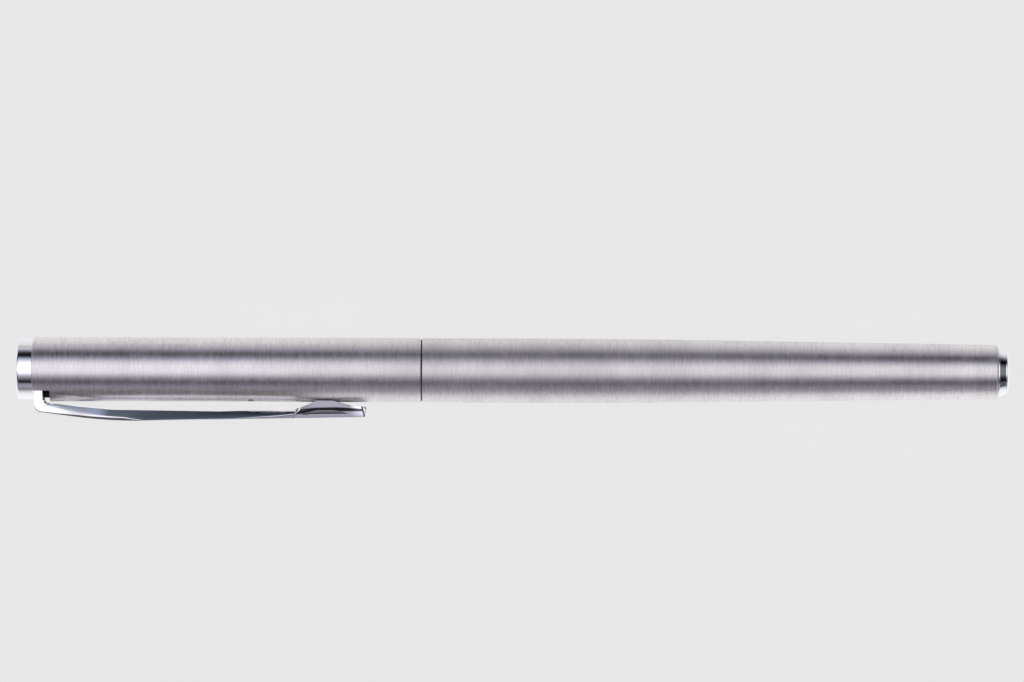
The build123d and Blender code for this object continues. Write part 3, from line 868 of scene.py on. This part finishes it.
class PEN_OT_clip(bpy.types.Operator):
    """Makes the clip: a channel of sheet metal carried along its bent edge"""

    bl_idname = "pen.clip"
    bl_label = "Clip"

    def execute(self, context):
        """A row's section is a flat outer face and two sides that bend by a few degrees on the way
        to the lips. The inside follows a sheet's thickness in, and at the bump the lips stop just
        clear of the tube."""
        sizes = context.scene.pen_sizes
        outer, lips, tip = clip_rows(CLIP_ROWS)
        reach = lips - outer
        deep = np.maximum(np.linalg.norm(reach, axis=1), 0.05 * MM)
        way = reach / deep[:, None]
        half = self.half_width(outer[:, 0], sizes, tip)
        side, down = self.side_line(outer[:, 0], deep, half)
        end = self.clear_of_tube(lips, way, deep, side[:, -1])
        down = np.minimum(down, end[:, None])
        columns = [(side[:, k], down[:, k]) for k in reversed(range(side.shape[1]))]
        columns += [(side[:, 0] * part, np.zeros_like(deep)) for part in (0.97, 0.66, 0.33, 0.0)]
        sheet = np.minimum(sizes.clip_sheet, deep * 0.4)
        lip_half = np.maximum(side[:, -1] - sheet, 0.2 * MM)
        inner = [
            (lip_half, self.clear_of_tube(lips, way, deep, lip_half) - 0.01 * MM),
            (lip_half, sheet * 1.25),
            (lip_half - sheet * 0.25, sheet),
        ]
        whole = columns + [(-u, v) for u, v in reversed(columns[:-1])]
        whole += [(-u, v) for u, v in inner] + list(reversed(inner))
        across = np.stack([u for u, v in whole], axis=1)
        down = np.stack([v for u, v in whole], axis=1)
        x, y = outer[:, :1] + way[:, :1] * down, outer[:, 1:] + way[:, 1:] * down
        grid = np.stack([x, y, across], axis=-1)
        rows, per = across.shape
        i, j = np.arange(rows - 1)[:, None] * per, np.arange(per)[None]
        k = (j + 1) % per
        quads = np.stack(np.broadcast_arrays(i + j, i + k, i + per + k, i + per + j), axis=-1)
        ends = [np.arange(per)[::-1], (rows - 1) * per + np.arange(per)]
        clip = new_object("clip_channel", grid.reshape(-1, 3), [*quads.reshape(-1, 4), *ends])
        low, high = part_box("clip")
        foot = block((low.x + 0.01 * MM, -4.7 * MM, -2.4 * MM), (low.x + 0.5 * MM, high.y, 2.4 * MM))
        join(clip, foot)
        finish_mesh(clip)
        stand_for(clip, "clip")
        return {"FINISHED"}

    def side_line(self, x, deep, half):
        """Half widths and depths of a side, one row per row of the clip, outer edge first.

        The lean is read from CLIP_FORM. Going down the side the half width falls by the depth
        times the tangent of the lean, and it equals the clip's half width at a fixed depth.
        """
        places = [CAP_FRONT + line[0] * MM for line in CLIP_FORM]
        depths = [np.interp(x, places, [line[1][k] * MM for line in CLIP_FORM]) for k in range(6)]
        leans = [np.interp(x, places, [line[2][k] for line in CLIP_FORM]) for k in range(8)]
        fit = np.minimum(1, 0.95 * deep / depths[-1])
        stops = [np.zeros_like(x), *[depth * fit for depth in depths], deep]
        down, lean = [stops[0]], [leans[0]]
        for k in range(7):
            for part in (0.25, 0.5, 0.75, 1.0):
                down.append(stops[k] + (stops[k + 1] - stops[k]) * part)
                lean.append(leans[k] + (leans[k + 1] - leans[k]) * part)
        down, lean = np.stack(down, axis=1), np.radians(np.stack(lean, axis=1))
        fall = np.diff(down, axis=1) * np.tan((lean[:, 1:] + lean[:, :-1]) / 2)
        side = np.concatenate([np.zeros((len(x), 1)), -np.cumsum(fall, axis=1)], axis=1)
        level = np.minimum(0.6 * MM, 0.6 * deep)
        there = np.array([np.interp(*row) for row in zip(level, down, side)])
        return side - there[:, None] + half[:, None], down

    def half_width(self, x, sizes, tip):
        """Half of the width along the clip: wide at the root, then waisted, then a round tip."""
        waist = smooth_step(x, CAP_FRONT + 1.9 * MM, CAP_FRONT + 10.2 * MM)
        half = sizes.clip_root_half + (sizes.clip_waist_half - sizes.clip_root_half) * waist
        taper = np.clip((x - CAP_FRONT) / (46 * MM), 0, 1)
        half = half + (sizes.clip_tip_half - sizes.clip_waist_half) * taper
        left = np.clip((tip - x) / (0.7 * MM), 0, 1)
        return half - 0.42 * MM * (1 - np.sqrt(1 - (1 - left) ** 2))

    def clear_of_tube(self, lips, way, deep, half):
        """Depth of a lip, cut short where it would come nearer to the axis than just off the tube."""
        clear = np.sqrt(np.maximum((TUBE_RADIUS + LIP_CLEARANCE) ** 2 - half**2, 0))
        over_tube = lips[:, 0] > CAP_FRONT + bpy.context.scene.pen_sizes.slot_length
        short = np.where(over_tube, np.maximum(clear + lips[:, 1], 0), 0) / np.maximum(way[:, 1], 0.3)
        return deep - short


def join(piece, other):
    """Adds another object's mesh to a piece's."""
    both = bmesh.new()
    both.from_mesh(piece.data)
    both.from_mesh(other.data)
    both.to_mesh(piece.data)
    both.free()
    bpy.data.objects.remove(other)


def finish_mesh(piece):
    """Turns all faces outwards and shades by area-weighted normals, with steep edges left sharp."""
    edit = bmesh.new()
    edit.from_mesh(piece.data)
    bmesh.ops.remove_doubles(edit, verts=edit.verts, dist=1e-8)
    bmesh.ops.recalc_face_normals(edit, faces=edit.faces)
    edit.to_mesh(piece.data)
    edit.free()
    piece.data.shade_smooth()
    piece.data.set_sharp_from_angle(angle=SHARP_EDGE)
    weigh = piece.modifiers.new("weighted", "WEIGHTED_NORMAL")
    weigh.keep_sharp = True
    with_modifiers(piece)


class PEN_OT_seam(bpy.types.Operator):
    """Makes the thin dark washer between cap and barrel"""

    bl_idname = "pen.seam"
    bl_label = "Union washer"

    def execute(self, context):
        front, rear, radius = span("union_washer")
        inner = SECTION_RADIUS + 0.10 * MM
        corners = [(front, inner), (rear, inner), (rear, radius), (front, radius)]
        turned_piece("seam_washer", corners, SMALL_ROUND, "union_washer")
        return {"FINISHED"}


class PEN_OT_stage(bpy.types.Operator):
    """Makes the pale table, the soft studio light and the camera"""

    bl_idname = "pen.stage"
    bl_label = "Stage"

    def execute(self, context):
        studio = context.scene.pen_studio
        self.table(studio)
        self.flag(studio)
        self.light(context.scene, studio)
        self.camera(context.scene, studio)
        return {"FINISHED"}

    def table(self, studio):
        """A wide flat sheet just under the pen that glows like a light table.

        Reflections see it a little brighter near the pen and on the clip's side, and darker far out.
        """
        side, level = 3.0, -TUBE_RADIUS - 0.03 * MM
        corners = [(-side, -side, level), (side, -side, level), (side, side, level), (-side, side, level)]
        sheet = new_object("table", corners, [(0, 1, 2, 3)])
        material, tree, principled, vector = shader("table", (studio.floor_albedo,) * 3, Roughness=1.0)
        principled.inputs["Specular IOR Level"].default_value = 0.0
        split = tree.nodes.new("ShaderNodeSeparateXYZ")
        tree.links.new(vector, split.inputs[0])
        away = maths(tree, "ABSOLUTE", split.outputs["Y"], 0)
        near = ranged(tree, away, 0.010, 0.024, 0.84, 0.74)
        far = ranged(tree, away, 0.024, 0.060, 0.0, 0.28)
        clip_side = ranged(tree, split.outputs["Y"], -0.006, 0.006, 0.13, 0.0)
        seen_in_metal = maths(tree, "ADD", maths(tree, "SUBTRACT", near, far), clip_side)
        seen = ranged(tree, noise(tree, vector, 60.0, 5.0, 0.6), 0.3, 0.7, 0.99, 1.004)
        seen = maths(tree, "MULTIPLY", seen, studio.floor_glow)
        path = tree.nodes.new("ShaderNodeLightPath")
        pick = node(tree, "Mix", data_type="FLOAT")
        tree.links.new(path.outputs["Is Camera Ray"], pick.inputs[0])
        tree.links.new(seen_in_metal, pick.inputs[2])
        tree.links.new(seen, pick.inputs[3])
        principled.inputs["Emission Color"].default_value = (1, 1, 1, 1)
        tree.links.new(pick.outputs[0], principled.inputs["Emission Strength"])
        sheet.data.materials.append(material)

    def flag(self, studio):
        """A dark card beside the clip, seen in reflections only: painted shade, a dark band on the cap's
        lower side that stands in for the clip's own dark reflection.
        """
        front, rear, away = CAP_FRONT + 2.0 * MM, CAP_FRONT + 38.0 * MM, -11.0 * MM
        low, high = -2.6 * MM, 5.2 * MM
        corners = [(front, away, low), (rear, away, low), (rear, away, high), (front, away, high)]
        card = new_object("flag", corners, [(0, 1, 2, 3)])
        material, _, principled, _ = shader("flag", (0.02,) * 3, Roughness=1.0)
        principled.inputs["Emission Color"].default_value = (1, 0.92, 0.90, 1)
        principled.inputs["Emission Strength"].default_value = studio.painted_shade_glow
        card.data.materials.append(material)
        # Hidden from the camera, from shadows and from diffuse light, so it only paints a dark band into
        # reflections.
        card.visible_camera = False
        card.visible_shadow = False
        card.visible_diffuse = False

    def light(self, scene, studio):
        """A long softbox just off the vertical, dark gaps beside it and pale walls low down.

        The brightness depends on the angle across the pen, from -90 degrees on the clip's side
        to +90 on the other, and fades towards the tail's end.
        """
        world = bpy.data.worlds.new("studio")
        scene.world = world
        world.use_nodes = True
        tree = world.node_tree
        tree.nodes.clear()
        split = tree.nodes.new("ShaderNodeSeparateXYZ")
        tree.links.new(tree.nodes.new("ShaderNodeTexCoord").outputs["Generated"], split.inputs[0])
        angle = maths(tree, "ARCTAN2", split.outputs["Y"], split.outputs["Z"])
        share_round = ranged(tree, angle, -math.pi / 2, math.pi / 2, 0.0, 1.0)
        ramp = tree.nodes.new("ShaderNodeValToRGB")
        tree.links.new(share_round, ramp.inputs[0])
        strip, wall, gap = studio.strip_light, 0.31, 0.012
        stops = [
            (-90, 0.30), (-80, 0.23), (-70, wall), (-61, wall), (-52, gap), (-46, 0.03), (-37, 0.15),
            (-27, 0.40), (-20, 0.74), (-13, strip), (21, strip), (27, 0.98), (33, 0.68), (39, 0.45),
            (46, 0.14), (52, gap), (62, gap), (70, 0.10), (78, 0.33), (90, 0.66),
        ]
        bright_tint, blue_tint, violet_tint = (1, 0.99, 1.02), (0.88, 1.0, 1.28), (1, 0.94, 1.12)
        while len(ramp.color_ramp.elements) < len(stops):
            ramp.color_ramp.elements.new(0.5)
        for element, (degrees, bright) in zip(ramp.color_ramp.elements, stops):
            element.position = degrees / 180 + 0.5
            tint = bright_tint if bright > 0.8 else blue_tint if 38 < degrees < 54 else violet_tint
            element.color = (*[bright / 2 * channel for channel in tint], 1)
        dimming = ranged(tree, split.outputs["X"], 0.35, 0.72, 2.15, 0.35)
        glow = node(tree, "Background")
        tree.links.new(dimming, glow.inputs["Strength"])
        tree.links.new(ramp.outputs["Color"], glow.inputs["Color"])
        plain = node(tree, "Background", Strength=1.0)
        plain.inputs["Color"].default_value = (studio.backdrop, studio.backdrop, studio.backdrop, 1)
        path = tree.nodes.new("ShaderNodeLightPath")
        mix = tree.nodes.new("ShaderNodeMixShader")
        tree.links.new(path.outputs["Is Camera Ray"], mix.inputs[0])
        tree.links.new(glow.outputs[0], mix.inputs[1])
        tree.links.new(plain.outputs[0], mix.inputs[2])
        output = tree.nodes.new("ShaderNodeOutputWorld")
        tree.links.new(mix.outputs[0], output.inputs["Surface"])

    def camera(self, scene, studio):
        """A long lens straight above the pen."""
        lens = bpy.data.cameras.new("camera")
        lens.sensor_width = 36.0
        lens.lens = lens.sensor_width * studio.camera_height / studio.field_width
        lens.clip_start = 0.01
        lens.dof.use_dof = False
        eye = bpy.data.objects.new("camera", lens)
        eye.location = (studio.aim_x, studio.aim_y, studio.camera_height)
        eye.rotation_euler = (0, 0, studio.roll)
        scene.collection.objects.link(eye)
        scene.camera = eye
        scene.view_settings.view_transform = "Standard"
        scene.view_settings.look = "None"


SETTINGS = {"pen_sizes": PenSizes, "pen_colours": PenColours, "pen_studio": PenStudio}
OPERATORS = [
    PEN_OT_finishes,
    PEN_OT_cap_tube,
    PEN_OT_barrel,
    PEN_OT_ends,
    PEN_OT_clip,
    PEN_OT_seam,
    PEN_OT_stage,
]


class PEN_PT_panel(bpy.types.Panel):
    """Lists the pen's settings and steps"""

    bl_idname = "PEN_PT_panel"
    bl_label = "Technical pen"
    bl_space_type = "VIEW_3D"
    bl_region_type = "UI"
    bl_category = "Pen"

    def draw(self, context):
        for name, kind in SETTINGS.items():
            box = self.layout.box()
            for setting in kind.__annotations__:
                box.prop(getattr(context.scene, name), setting)
        for step in OPERATORS:
            self.layout.operator(step.bl_idname)


CLASSES = [*SETTINGS.values(), *OPERATORS, PEN_PT_panel]


def register():
    for kind in CLASSES:
        bpy.utils.register_class(kind)
    for name, kind in SETTINGS.items():
        setattr(bpy.types.Scene, name, PointerProperty(type=kind))


def unregister():
    for name in SETTINGS:
        delattr(bpy.types.Scene, name)
    for kind in reversed(CLASSES):
        bpy.utils.unregister_class(kind)


def main():
    register()
    for step in OPERATORS:
        getattr(bpy.ops.pen, step.bl_idname.split(".")[1])()


if __name__ == "__main__":
    main()
